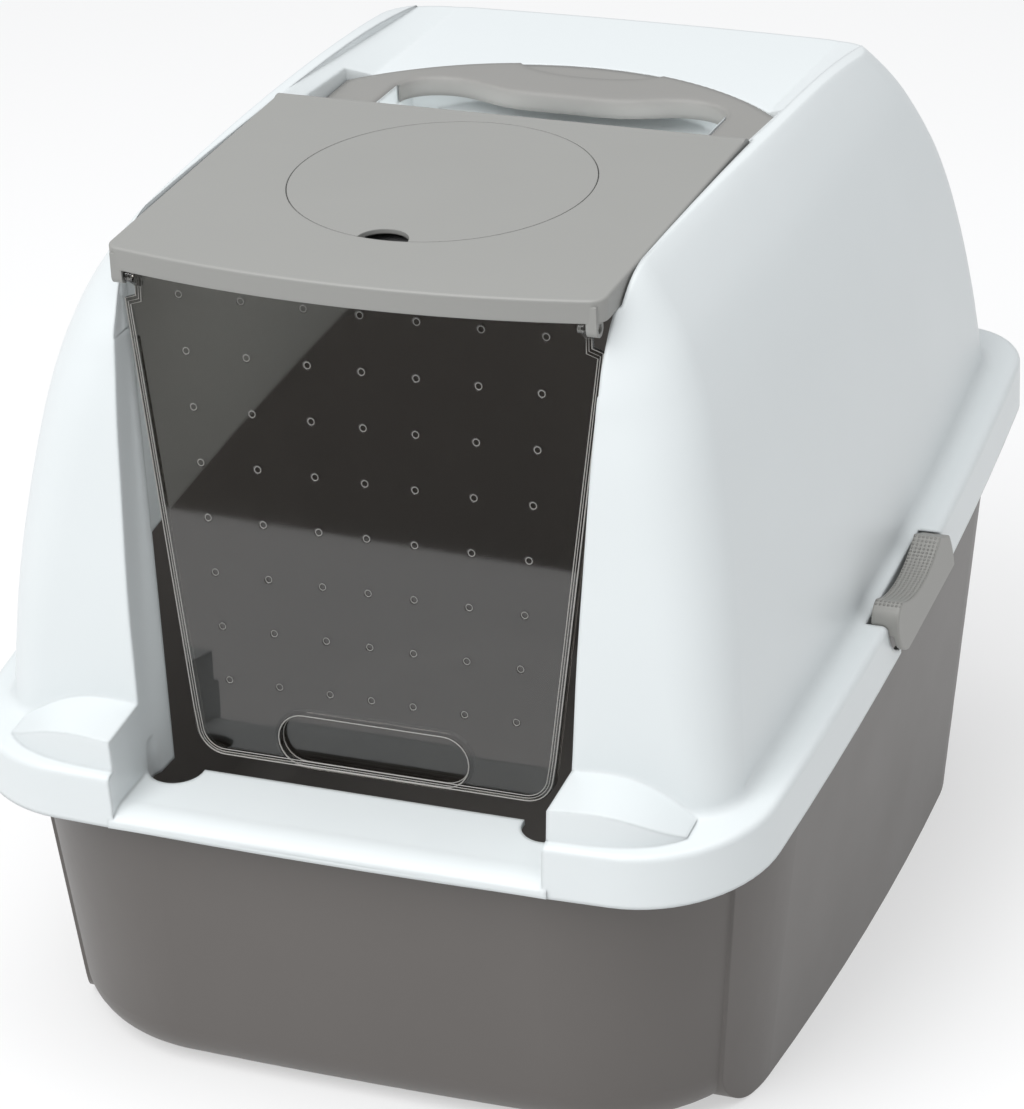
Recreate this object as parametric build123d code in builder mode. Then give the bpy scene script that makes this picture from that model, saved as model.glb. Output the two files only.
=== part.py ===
"""Covered litter box: pan, clip-on hood, lift-up lid with its swinging door, filter and handle.

Millimetres, Z up. The entry faces -Y, the origin is on the ground under the middle of the
box, and everything is the same on the left and on the right.
"""
from build123d import *
import math
import os

# Rim: the hood's skirt and ledge run round the box on a plane that rises to the back
rim_half_width = 232.5
rim_half_length = 286.0
rim_height = 195.6            # underside of the skirt above the ground, at mid length
rim_slope = 6.3               # degrees
rim_side_bow = 11.0
rim_end_bow = 6.0
rim_front_corner = 72.0
rim_rear_corner = 42.0
rim_edge_radius = 3.5
skirt_height = 30.0
skirt_wall = 3.2
ledge_thickness = 9.0
wall = 2.8                    # moulded wall of the hood and the pan
running_fit = 0.08            # radial play of every pin
rest_gap = 0.3                # between a moving piece and what it comes to rest on
seat_gap = 0.05               # between the pan's lip and the ledge that lies on it
crease_radius = 7.0           # where the hood's walls rise from the ledge
clear = 20.0                  # how far a cutting block runs past what it cuts

# Hood moulding in level sections: height, half width, front, rear, front corner, rear corner
hood_sections = [
    (150, 216.5, -247, 269, 24, 36),
    (207, 215.0, -243, 268, 26, 38),
    (264, 211.0, -238, 266, 31, 40),
    (310, 205.5, -232, 264, 36, 42),
    (350, 198.5, -226, 261, 40, 44),
    (380, 191.5, -221, 257, 43, 46),
    (404, 183.5, -216, 252, 45, 48),
    (424, 174.5, -211, 246, 46, 49),
    (440, 165.0, -206, 239, 46, 49),
    (452, 156.5, -202, 231, 45, 48),
    (461, 149.5, -197, 222, 43, 46),
    (468, 142.0, -191, 212, 41, 44),
    (474, 132.0, -184, 200, 39, 42),
]
hood_side_bow = 9.0
hood_end_bow = 5.0
crest_line = [(-300, 461), (-190, 465.5), (-60, 467), (60, 465), (150, 460.5), (215, 452), (300, 432)]

# Entry between the hood's front pillars
entry_bottom_half = 121.0
entry_top_half = 136.0
sill_height = 177.0
sill_rear = -230.0
sill_thickness = 3.0
sill_drop = 9.0               # the sill's front edge lies this far below its rear edge
sill_roll = (5.5, 16.0)       # its rounded front: middle and end, behind the front edge
sill_crown = 2.4              # the roll ends this far below the rear edge
sill_setback = 0.5
return_gap = 5.0              # the pillars' inner faces end this far behind the door
notch_radius = 15.5           # of the round notches at the rear corners of the sill
notch_from_middle = 107.0
notch_y = -232.0
notch_floor = 165.0
notch_top = 192.0

# Platforms at the feet of the pillars: distance from the middle, height, setback from the rim
platform_stations = [(121, 17, 8), (148, 18, 9.5), (170, 12.5, 14), (181, 7, 19), (191, 1, 27)]
platform_back = -236.0

# Lid and its hinge
lid_half_width = 136.6
lid_front = -206.7
lid_bow = 15.0
lid_rear = 19.0
lid_rear_height = 469.0
lid_slope = 1.15              # degrees, down to the front
lid_thickness = 3.0
lid_wall = 2.5
lid_lip = 12.5
lid_corner = 9.0
lid_edge_radius = 1.5
lid_play = 1.2
lid_seat_width = 4.0
hinge_radius = 8.0
hinge_pin_radius = 3.0
hinge_pin_length = 4.6
hinge_knuckle = 7.0           # length of the solid ends of the lid's rolled rear edge
boss_radius = 7.0

# Filter under the round cover in the lid
filter_centre = -81.5
cover_radius = 82.0
cover_thickness = 2.6
cover_play = 0.5
cover_notch_radius = 14.0
cover_rim_depth = 3.0
cover_rim_width = 2.2
cup_radius = 79.0
cup_depth = 15.0
pad_thickness = 8.0
pad_play = 0.6
grille_slots = 9
grille_slot_width = 7.0
grille_pitch = 15.0
grille_margin = 8.0

# Door, hung from the lid
door_thickness = 2.4
door_top = 450.0
door_bottom = 179.0
door_lean = 4.0               # degrees, the foot of the door stands forward
door_face_at_top = -195.9
door_top_half = 126.3         # between the lid's ears
door_shoulder_half = 132.4    # below the ears
door_bottom_half = 101.0
door_corner = 16.0
door_shoulder_drop = 16.0
door_rim_width = 3.0
door_rim_depth = 3.5
door_pivot_y = -203.5
door_pivot_z = 448.0
door_pin_radius = 2.5
door_pin_reach = 132.0
door_arm_radius = 3.6
door_arm_thickness = 4.0
door_arm_foot = 12.0
ear_inner = 127.3
ear_outer = 133.3
ear_radius = 4.6
pull_half_length = 57.0
pull_half_height = 17.0
pull_depth = 7.0
pull_wall = 2.0
pull_height = 194.0
dimple_rows = 8
dimple_pitch = 30.6
dimple_first = 437.0          # height of the top row
dimple_inner = (31.3, 23.7)   # middle column to its neighbours, in the top and bottom rows
dimple_outer = (35.1, 29.1)   # between the other columns, in the same rows
dimple_radius = 2.1
dimple_depth = 0.8

# Handle, and the scooped pocket under it for the fingers
handle_top = 450.0
handle_thickness = 11.0
handle_half_width = 130.0
handle_front = 28.0
handle_end_depth = 62.0
handle_end_width = 31.0
handle_arch = 148.0
handle_edge_radius = 1.5
handle_play = 0.4
grip_front = 98.0
grip_wave = 10.0
grip_swell = (9.0, 31.0, 61.0)    # distances of its bends from the handle's inner corners
thumb_dip_half_length = 46.0
thumb_dip_half_width = 20.0
thumb_dip_depth = 1.6
peg_radius = 3.0
peg_length = 7.0
peg_from_middle = 115.0
peg_places = (44.0, 80.0)
pocket_half_width = 98.0
pocket_front = 24.0
pocket_floor = 414.0
pocket_rear_floor = 432.0
pocket_deepest = 52.0
pocket_scoop = (8.0, 6.0, 22.0)   # bend behind the front edge, its height, the straight's foot
pocket_cover = 9.0            # the pocket ends this far under the rear of the handle
valley_front_height = 451.0
valley_rear_height = 446.4
valley_rear = 262.0
valley_half_width = 119.0
valley_front_crest = 466.5
valley_rear_crest = 447.2

# Latches, one on each side
latch_centre = 8.0
latch_inset = 9.9             # its inner side lies this far inside the rim, its plate stands proud
latch_proud = 5.5
latch_nose = -51.0            # front and rear ends, along the rim from the latch's middle
latch_heel = 54.0
latch_foot = 5.0              # heights above the skirt's underside, square to the rim
latch_saddle = 29.3
latch_crown = 39.5
latch_wall = 3.0
latch_plate = 3.5
latch_play = 0.8
latch_swing_room = 2.8        # behind it, for its top edge as it turns
latch_pin_inset = 2.5         # of the pins, inside the rim
latch_pin_height = 25.5
latch_pin_radius = 1.4
latch_pin_length = 2.6
latch_edge_radius = 1.2
latch_chin = 17.0             # from the nose back to where the straight foot starts
latch_cheek = (5.0, 14.0)
latch_nose_height = 28.0
latch_brow = (2.5, 3.0)
latch_crown_front = 10.0      # behind the nose
latch_saddle_middle = -1.0
latch_crown_rear = (30.0, 37.5)
latch_shoulder = (47.0, 28.5)
latch_calf = (2.0, 16.0)
latch_boss_radius = 2.9
latch_ends = (-50.4, 45.4)    # where its two pins stand out, along the rim
claw_height = 15.6
claw_tip = 2.0                # thickness at the tip and at the plate, and inset at both ends
claw_root = 8.0
claw_inset = 2.0
catch_low = 16.0
catch_half_length = 30.0
catch_room = 1.6

# Pan: a drafted tub with flat side panels, open at the top
pan_side_inset = 30.0         # on the ground, inside the rim's half width and half length
pan_front_inset = 34.0
pan_rear_inset = 36.0
pan_ground_corner = 92.0
pan_top_corner = 118.0
pan_draft = 0.112             # outward lean of the walls for each millimetre of height
pan_foot_radius = 28.0
panel_proud = 1.8
panel_front = -206.0
panel_rear = 208.0
panel_lean = 0.05
panel_foot_radius = 26.0
panel_depth = 40.0
lip_thickness = 3.0
lip_play = 0.6

# Places worked out from the sizes above
slope = math.radians(rim_slope)
up_slope = (0, math.cos(slope), math.sin(slope))
ledge_under = skirt_height - ledge_thickness
lip_top = ledge_under - seat_gap
rim_length_in_plan = rim_half_length * math.cos(slope)
latch_inner = rim_half_width - latch_inset
latch_outer = rim_half_width + latch_proud
latch_pin_x = rim_half_width - latch_pin_inset
claw_reach = rim_half_width - skirt_wall
pan_ground_half = rim_half_width - pan_side_inset
pan_ground_front = pan_front_inset - rim_half_length
pan_ground_rear = rim_half_length - pan_rear_inset
lean = math.radians(door_lean)
door_length = (door_top - door_bottom) / math.cos(lean)
lid_tilt = math.radians(lid_slope)
lid_length = (lid_rear - lid_front) / math.cos(lid_tilt)
lid_seat = lid_lip + rest_gap
filter_on_lid = (filter_centre - lid_rear) / math.cos(lid_tilt)
hinge_y = lid_rear - hinge_radius
hinge_z = lid_rear_height - hinge_radius
recess_half = lid_half_width + lid_play
high = lid_rear_height + 40   # a height above everything, for cutting upwards

lid_plane = Plane(
    origin=(0, lid_rear, lid_rear_height),
    x_dir=(1, 0, 0),
    z_dir=(0, -math.sin(lid_tilt), math.cos(lid_tilt)),
)
door_plane = Plane(
    origin=(0, door_face_at_top, door_top),
    x_dir=(1, 0, 0),
    z_dir=(0, -math.cos(lean), math.sin(lean)),
)
latch_plane = Plane(
    origin=(0, latch_centre, rim_height + latch_centre * math.tan(slope)),
    x_dir=up_slope,
    z_dir=(1, 0, 0),
)


def rim_level(height):
    """The plane of the rim, raised straight up by a height above the skirt's underside."""
    return Plane(
        origin=(0, 0, rim_height + height),
        x_dir=(1, 0, 0),
        z_dir=(0, -math.sin(slope), math.cos(slope)),
    )


def bowed_outline(plane, half_width, front, rear, side_bow, end_bow, front_corner, rear_corner):
    """A closed outline with four bowed sides and rounded corners, as a face on the plane."""
    x = half_width - side_bow
    low = front + end_bow
    top = rear - end_bow
    with BuildSketch(plane) as outline:
        with BuildLine():
            ThreePointArc((-x, low), (0, front), (x, low))
            ThreePointArc((x, low), (half_width, (low + top) / 2), (x, top))
            ThreePointArc((x, top), (0, rear), (-x, top))
            ThreePointArc((-x, top), (-half_width, (low + top) / 2), (-x, low))
        make_face()
        fillet(outline.vertices().sort_by(Axis.Y)[:2], front_corner)
        fillet(outline.vertices().sort_by(Axis.Y)[-2:], rear_corner)
    return outline.sketch


def rim_outline(height, inset):
    """The rim's outline at a height above the skirt's underside, drawn in by the inset."""
    return bowed_outline(
        rim_level(height),
        rim_half_width - inset,
        -rim_half_length + inset,
        rim_half_length - inset,
        rim_side_bow,
        rim_end_bow,
        rim_front_corner - inset,
        rim_rear_corner - inset,
    )


def rim_slab(low, high_side, inset):
    """A slab of the rim's outline between two heights, with upright sides."""
    with BuildPart() as slab:
        extrude(rim_outline(low, inset), amount=high_side - low, dir=(0, 0, 1))
    return slab.part


def above_crest(drop):
    """Everything above the crest line of the side view, lowered by the drop."""
    with BuildPart() as region:
        with BuildSketch(Plane.YZ):
            with BuildLine():
                crest = Spline([(y, z - drop) for y, z in crest_line])
                Polyline(crest @ 1, (crest_line[-1][0], high), (crest_line[0][0], high), crest @ 0)
            make_face()
        extrude(amount=rim_half_width, both=True)
    return region.part


def hood_form(inset):
    """The hood's closed form, with every wall drawn in by the inset."""
    sections = []
    last = len(hood_sections) - 1
    for index, (height, half, front, rear, front_corner, rear_corner) in enumerate(hood_sections):
        below = hood_sections[max(index - 1, 0)]
        above = hood_sections[min(index + 1, last)]
        rise = above[0] - below[0]
        narrowing = below[1] - above[1]
        slant = math.hypot(rise, narrowing)
        sections.append(
            bowed_outline(
                Plane.XY.offset(height - inset * narrowing / slant),
                half - inset * rise / slant,
                front + inset,
                rear - inset,
                hood_side_bow,
                hood_end_bow,
                front_corner - inset,
                rear_corner - inset,
            )
        )
    with BuildPart() as form:
        loft(sections)
        add(above_crest(inset), mode=Mode.SUBTRACT)
    return form.part


def pan_form(bottom, inset, foot):
    """The pan's drafted form from a bottom height up past the rim, its foot rounded."""
    sections = []
    for height in (bottom, rim_height + 2 * skirt_height):
        spread = pan_draft * height - inset
        corner = pan_ground_corner + (pan_top_corner - pan_ground_corner) * height / rim_height
        sections.append(
            bowed_outline(
                Plane.XY.offset(height),
                pan_ground_half + spread,
                pan_ground_front - spread,
                pan_ground_rear + spread,
                rim_side_bow,
                rim_end_bow,
                corner - inset,
                corner - inset,
            )
        )
    with BuildPart() as form:
        loft(sections)
        if foot > 0:
            fillet(form.faces().sort_by(Axis.Z)[0].edges(), foot)
    return form.part


def above_sill(drop, half_width):
    """Everything between the pillars above the sill, lowered by the drop, up to its rear edge."""
    front = -rim_length_in_plan + drop
    level = sill_height - drop
    with BuildPart() as region:
        with BuildSketch(Plane.YZ):
            with BuildLine():
                nose = (front, level - sill_drop)
                bend = (front + sill_roll[0], level - sill_drop / 2)
                crown = (front + sill_roll[1], level - sill_crown)
                Line((front - clear, level - sill_drop), nose)
                ThreePointArc(nose, bend, crown)
                Polyline(
                    crown, (sill_rear, level), (sill_rear, high),
                    (front - clear, high), (front - clear, level - sill_drop),
                )
            make_face()
        extrude(amount=half_width, both=True)
    return region.part


def entry_block(margin, bottom, behind):
    """The entry as a solid, wider by the margin, ending behind the leaning door."""
    rate = (entry_top_half - entry_bottom_half) / (lid_rear_height - sill_height)
    wide = entry_bottom_half + rate * (high - sill_height) + margin
    narrow = entry_bottom_half + rate * (bottom - sill_height) + margin
    with BuildPart() as block:
        with BuildSketch(Plane.XZ):
            with BuildLine():
                Polyline((-narrow, bottom), (narrow, bottom), (wide, high), (-wide, high), close=True)
            make_face()
        extrude(amount=rim_half_length + clear)
        split(bisect_by=door_plane.offset(-door_thickness - behind), keep=Keep.TOP)
    return block.part


def handle_outline(plane, margin):
    """The handle from above: an arch whose front edge swells where the palm closes on it."""
    half = handle_half_width + margin
    front = handle_front - margin
    end = handle_front + handle_end_depth
    inner = handle_half_width - handle_end_width - margin
    grip = grip_front - margin
    near, middle, far = grip_swell
    wave = [
        (inner, grip - grip_wave), (inner - near, grip + 0.5 * grip_wave),
        (inner - middle, grip + grip_wave), (inner - far, grip + 0.1 * grip_wave),
        (0, grip - 0.1 * grip_wave),
        (far - inner, grip + 0.1 * grip_wave), (middle - inner, grip + grip_wave),
        (near - inner, grip + 0.5 * grip_wave), (-inner, grip - grip_wave),
    ]
    with BuildSketch(plane) as outline:
        with BuildLine():
            Line((-half, front), (-half, end))
            ThreePointArc((-half, end), (0, handle_arch + margin), (half, end))
            Polyline((half, end), (half, front), (inner, front), wave[0])
            Spline(wave)
            Polyline(wave[-1], (-inner, front), (-half, front))
        make_face()
    return outline.sketch


def pocket_form(margin):
    """The finger pocket, larger by the margin: a scoop that ends in an arch under the handle."""
    front = pocket_front - margin
    floor = pocket_floor - margin
    half = pocket_half_width + margin
    arch_rear = handle_arch - pocket_cover + margin
    end = handle_front + handle_end_depth - pocket_cover + margin
    with BuildPart() as form:
        with BuildSketch(Plane.YZ):
            with BuildLine():
                back, rise, straight = pocket_scoop
                bend = (front + back, floor + rise)
                Line((front, high), (front, floor + straight))
                ThreePointArc((front, floor + straight), bend, (pocket_deepest, floor))
                Line((pocket_deepest, floor), (arch_rear, pocket_rear_floor - margin))
                Polyline((arch_rear, pocket_rear_floor - margin), (arch_rear, high), (front, high))
            make_face()
        extrude(amount=half, both=True)
        with BuildSketch(Plane.XY.offset(pocket_floor - 2 * margin - 1)):
            with BuildLine():
                left = -handle_half_width
                right = handle_half_width
                Line((left, front - 1), (left, end))
                ThreePointArc((left, end), (0, arch_rear), (right, end))
                Polyline((right, end), (right, front - 1), (left, front - 1))
            make_face()
        extrude(amount=high, mode=Mode.INTERSECT)
    return form.part


def lid_outline(plane, inset):
    """The lid from above, straight at the back and bowed at the front."""
    half = lid_half_width - inset
    front = -lid_length + inset
    with BuildSketch(plane) as outline:
        with BuildLine():
            Polyline((half, front), (half, -inset), (-half, -inset), (-half, front))
            ThreePointArc((-half, front), (0, front - lid_bow), (half, front))
        make_face()
        fillet(outline.vertices().sort_by(Axis.Y)[:2], lid_corner - inset)
    return outline.sketch


def door_outline(plane, inset):
    """The door, stepped in at the top beside the lid's ears. Local Y runs up the door."""
    top = door_top_half - inset
    shoulder = door_shoulder_half - inset
    foot = door_bottom_half - inset
    drop = -door_shoulder_drop - inset
    with BuildSketch(plane) as outline:
        with BuildLine():
            Polyline(
                (-top, -inset), (top, -inset), (top, drop), (shoulder, drop - 2),
                (foot, -door_length + inset), (-foot, -door_length + inset),
                (-shoulder, drop - 2), (-top, drop), close=True,
            )
        make_face()
        fillet(outline.vertices().sort_by(Axis.Y)[:2], door_corner - inset)
    return outline.sketch


def latch_outline(plane, margin):
    """The latch from the side, larger by the margin: a saddle between a nose and a heel."""
    with BuildSketch(plane) as outline:
        with BuildLine():
            low = latch_foot - margin
            heel = (latch_heel + margin, low)
            chin = (latch_nose + latch_chin - margin, low)
            cheek = (latch_nose + latch_cheek[0] - margin, latch_cheek[1])
            nose = (latch_nose - margin, latch_nose_height)
            brow_along = latch_nose + latch_brow[0] - margin * 0.8
            brow = (brow_along, latch_crown - latch_brow[1] + margin * 0.6)
            crown = (latch_nose + latch_crown_front, latch_crown + margin)
            rear_crown = (latch_crown_rear[0] + margin / 2, latch_crown_rear[1] + margin)
            shoulder = (latch_shoulder[0] + margin, latch_shoulder[1] + margin / 2)
            calf = (latch_heel - latch_calf[0] + margin, latch_calf[1])
            Line(heel, chin)
            ThreePointArc(chin, cheek, nose)
            ThreePointArc(nose, brow, crown)
            ThreePointArc(crown, (latch_saddle_middle, latch_saddle + margin), rear_crown)
            Line(rear_crown, shoulder)
            ThreePointArc(shoulder, calf, heel)
        make_face()
    return outline.sketch


def latch_pin_plane(along):
    """A plane across the latch's pin, along the rim from its middle. Local Y points down."""
    return Plane(
        origin=latch_plane.from_local_coords((along, latch_pin_height, latch_pin_x)),
        x_dir=(1, 0, 0),
        z_dir=up_slope,
    )


def rod(plane, centre, radius, length):
    """A straight round bar that starts on a plane at a point of it and runs along its normal."""
    with BuildPart() as bar:
        with BuildSketch(plane):
            with Locations(centre):
                Circle(radius)
        extrude(amount=length)
    return bar.part


os.makedirs("parts", exist_ok=True)

# Pan: a drafted tub, side panels that stand proud of it down to the ground, and a lip
with BuildPart() as side_panels:
    add(pan_form(0, -panel_proud, 0))
    with BuildSketch(Plane.YZ) as panel_side:
        with BuildLine():
            top = rim_height + 2 * skirt_height
            Polyline(
                (panel_front, 0), (panel_rear, 0), (panel_rear + panel_lean * top, top),
                (panel_front - panel_lean * top, top), close=True,
            )
        make_face()
        fillet(panel_side.vertices().sort_by(Axis.Y)[:2], panel_foot_radius)
    extrude(amount=rim_half_width + clear, both=True, mode=Mode.INTERSECT)
    with BuildSketch(Plane.XY):
        Rectangle(2 * (pan_ground_half - panel_depth), 2 * rim_half_length)
    extrude(amount=high, mode=Mode.SUBTRACT)

# A bead under each latch for its claw, as high as the pan's lip
with BuildPart() as catches:
    with BuildSketch(latch_plane.offset(pan_ground_half + pan_draft * rim_height)):
        with Locations((0, (catch_low + lip_top) / 2)):
            Rectangle(2 * catch_half_length, lip_top - catch_low)
    extrude(amount=rim_half_width - pan_ground_half - pan_draft * rim_height)
    mirror(about=Plane.YZ)

# Room inside the skirt, which the pan's walls don't leave
with BuildPart() as collar:
    add(rim_slab(0, skirt_height, -clear))
    add(rim_slab(-1, skirt_height + 1, skirt_wall + lip_play), mode=Mode.SUBTRACT)

with BuildPart() as pan:
    add(pan_form(0, 0, pan_foot_radius))
    add(side_panels.part)
    split(bisect_by=rim_level(lip_top), keep=Keep.BOTTOM)
    add(collar.part, mode=Mode.SUBTRACT)
    add(rim_slab(lip_top - lip_thickness, lip_top, skirt_wall + lip_play))
    add(catches.part)
    add(pan_form(wall, wall, pan_foot_radius - wall), mode=Mode.SUBTRACT)
    add(above_sill(sill_thickness, entry_bottom_half + wall + 1), mode=Mode.SUBTRACT)
pan.part.label = "pan"
export_step(pan.part, "parts/pan.step")

# Hood: its form, the skirt and ledge, platforms, sill, recesses and the entry
hood_outer = hood_form(0)
hood_inner = hood_form(wall)

with BuildPart() as rim:
    add(rim_slab(0, skirt_height, 0))
    fillet(rim.faces().sort_by(Axis((0, 0, 0), rim_level(0).z_dir))[-1].edges(), rim_edge_radius)

with BuildPart() as shell:
    add(hood_outer)
    split(bisect_by=rim_level(ledge_under), keep=Keep.TOP)
    add(rim.part)
    ledge = rim_level(skirt_height)
    crease = shell.edges().filter_by(lambda edge: abs(ledge.to_local_coords(edge @ 0.5).Z) < 0.01)
    crease = crease.filter_by(lambda edge: abs((edge @ 0.5).X) < rim_half_width - 3 * rim_edge_radius)
    crease = crease.filter_by(lambda edge: abs((edge @ 0.5).Y) < rim_length_in_plan - 3 * rim_edge_radius)
    fillet(crease, crease_radius)
    add(rim_slab(-1, ledge_under, skirt_wall), mode=Mode.SUBTRACT)

with BuildPart() as platform:
    for x, height, setback in platform_stations:
        front = -rim_length_in_plan + setback
        with BuildSketch(Plane.YZ.offset(x)):
            with BuildLine():
                base = rim_height + skirt_height - ledge_thickness / 2
                rise = math.tan(slope)
                Polyline(
                    (front, base + rise * front), (platform_back, base + rise * platform_back),
                    (platform_back, base + ledge_thickness / 2 + rise * platform_back + height),
                    (front, base + ledge_thickness / 2 + rise * front + height), close=True,
                )
            make_face()
    loft()

with BuildPart() as sill:
    add(above_sill(sill_thickness, entry_bottom_half + wall))
    add(above_sill(0, entry_bottom_half + wall + 1), mode=Mode.SUBTRACT)
    split(bisect_by=Plane.XZ.offset(rim_length_in_plan - sill_setback), keep=Keep.BOTTOM)

# Walls that close the ledge and the skirt beside the sill
with BuildPart() as cheeks:
    add(rim_slab(0, skirt_height - rim_edge_radius, sill_setback))
    add(above_sill(sill_thickness, entry_bottom_half + wall), mode=Mode.INTERSECT)
    with BuildSketch(Plane.XY):
        Rectangle(2 * entry_bottom_half, 2 * rim_half_length)
    extrude(amount=high, mode=Mode.SUBTRACT)

with BuildPart() as recess_walls:
    half = recess_half + wall
    with BuildSketch(lid_plane.offset(-lid_seat - wall)):
        with Locations((0, -lid_length / 2 + (lid_play + wall) / 2)):
            Rectangle(2 * half, lid_length + lid_play + wall)
    extrude(amount=high - pocket_floor)
    for y, floor in ((lid_rear, valley_front_height), (valley_rear, valley_rear_height)):
        with BuildSketch(Plane.XZ.offset(-y)):
            with BuildLine():
                Polyline(
                    (-half, floor - wall), (half, floor - wall), (half, high), (-half, high), close=True,
                )
            make_face()
    loft()
    add(pocket_form(wall))
    handle_bed = Plane.XY.offset(handle_top - handle_thickness - wall)
    extrude(handle_outline(handle_bed, handle_play + wall), amount=handle_thickness)
    for sign in (-1, 1):
        add(rod(Plane.YZ.offset(sign * recess_half), (hinge_y, hinge_z), boss_radius, sign * 3 * wall))
    add(entry_block(wall, sill_height - sill_drop, return_gap))
    add(hood_outer, mode=Mode.INTERSECT)

with BuildPart() as valley:
    for y, floor, crest in (
        (lid_rear + lid_play, valley_front_height, valley_front_crest),
        (valley_rear, valley_rear_height, valley_rear_crest),
    ):
        with BuildSketch(Plane.XZ.offset(-y)):
            with BuildLine():
                Polyline(
                    (-valley_half_width, floor), (valley_half_width, floor), (recess_half, crest),
                    (recess_half, high), (-recess_half, high), (-recess_half, crest), close=True,
                )
            make_face()
    loft()

# What the lid, its rolled edge and its opening take out of the hood
with BuildPart() as lid_room:
    with BuildSketch(lid_plane.offset(-lid_seat)):
        with Locations((0, -lid_length / 2 - clear + lid_play / 2)):
            Rectangle(2 * recess_half, lid_length + 2 * clear + lid_play)
    extrude(amount=2 * clear)
    add(rod(Plane.YZ.offset(-recess_half), (hinge_y, hinge_z), hinge_radius + lid_play / 2, 2 * recess_half))
    with BuildSketch(Plane.XY.offset(pocket_floor)):
        with Locations((0, -lid_length / 2)):
            Rectangle(2 * (recess_half - lid_seat_width), lid_length + clear)
    extrude(amount=high - pocket_floor)

# What the latches take out of the ledge and the skirt, with the holes for their pins
with BuildPart() as latch_room:
    back = latch_plane.offset(latch_inner - latch_swing_room)
    room = latch_outer - latch_inner + latch_swing_room + latch_play
    extrude(latch_outline(back, latch_play), amount=room)
    with BuildSketch(back):
        Rectangle(2 * (catch_half_length + catch_room), 2 * ledge_under)
    extrude(amount=room)
    for end in latch_ends:
        reach = math.copysign(latch_pin_length + 2 * latch_play, end)
        add(rod(latch_pin_plane(end), (0, 0), latch_pin_radius + running_fit, reach))
    mirror(about=Plane.YZ)

with BuildPart() as notches:
    for sign in (-1, 1):
        centre = (sign * notch_from_middle, notch_y)
        add(rod(Plane.XY.offset(notch_floor), centre, notch_radius, notch_top - notch_floor))

with BuildPart() as hood:
    add(shell.part)
    add(platform.part)
    add(platform.part.mirror(Plane.YZ))
    add(hood_inner, mode=Mode.SUBTRACT)
    add(recess_walls.part)
    add(cheeks.part)
    add(entry_block(0, sill_height - sill_drop - 1, return_gap + wall), mode=Mode.SUBTRACT)
    add(above_sill(0, entry_bottom_half), mode=Mode.SUBTRACT)
    add(sill.part)
    add(lid_room.part, mode=Mode.SUBTRACT)
    add(valley.part, mode=Mode.SUBTRACT)
    add(pocket_form(0), mode=Mode.SUBTRACT)
    handle_seat = Plane.XY.offset(handle_top - handle_thickness)
    extrude(handle_outline(handle_seat, handle_play), amount=high - handle_top, mode=Mode.SUBTRACT)
    for sign in (-1, 1):
        for y in peg_places:
            foot = Plane.XY.offset(handle_top - handle_thickness - 2 * wall)
            hole = rod(foot, (sign * peg_from_middle, y), peg_radius + running_fit, 3 * wall)
            add(hole, mode=Mode.SUBTRACT)
        side = Plane.YZ.offset(sign * (recess_half - 1))
        depth = sign * (lid_half_width + hinge_pin_length + rest_gap - recess_half + 1)
        hole = rod(side, (hinge_y, hinge_z), hinge_pin_radius + running_fit, depth)
        add(hole, mode=Mode.SUBTRACT)
    add(latch_room.part, mode=Mode.SUBTRACT)
    add(notches.part, mode=Mode.SUBTRACT)
hood.part.label = "hood"
export_step(hood.part, "parts/hood.step")

# Handle: the arched grip with a dip for the thumb, and four pegs that hold it in the hood
with BuildPart() as handle:
    extrude(handle_outline(Plane.XY.offset(handle_top), 0), amount=-handle_thickness)
    fillet(handle.faces().sort_by(Axis.Z)[-1].edges(), handle_edge_radius)
    with BuildSketch(Plane.XY.offset(handle_top - thumb_dip_depth)):
        with Locations((0, handle_arch)):
            Ellipse(thumb_dip_half_length, thumb_dip_half_width)
    extrude(amount=handle_thickness, mode=Mode.SUBTRACT)
    for y in peg_places:
        for sign in (-1, 1):
            foot = Plane.XY.offset(handle_top - handle_thickness)
            add(rod(foot, (sign * peg_from_middle, y), peg_radius, -peg_length))
handle.part.label = "handle"
export_step(handle.part, "parts/handle.step")

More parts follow.
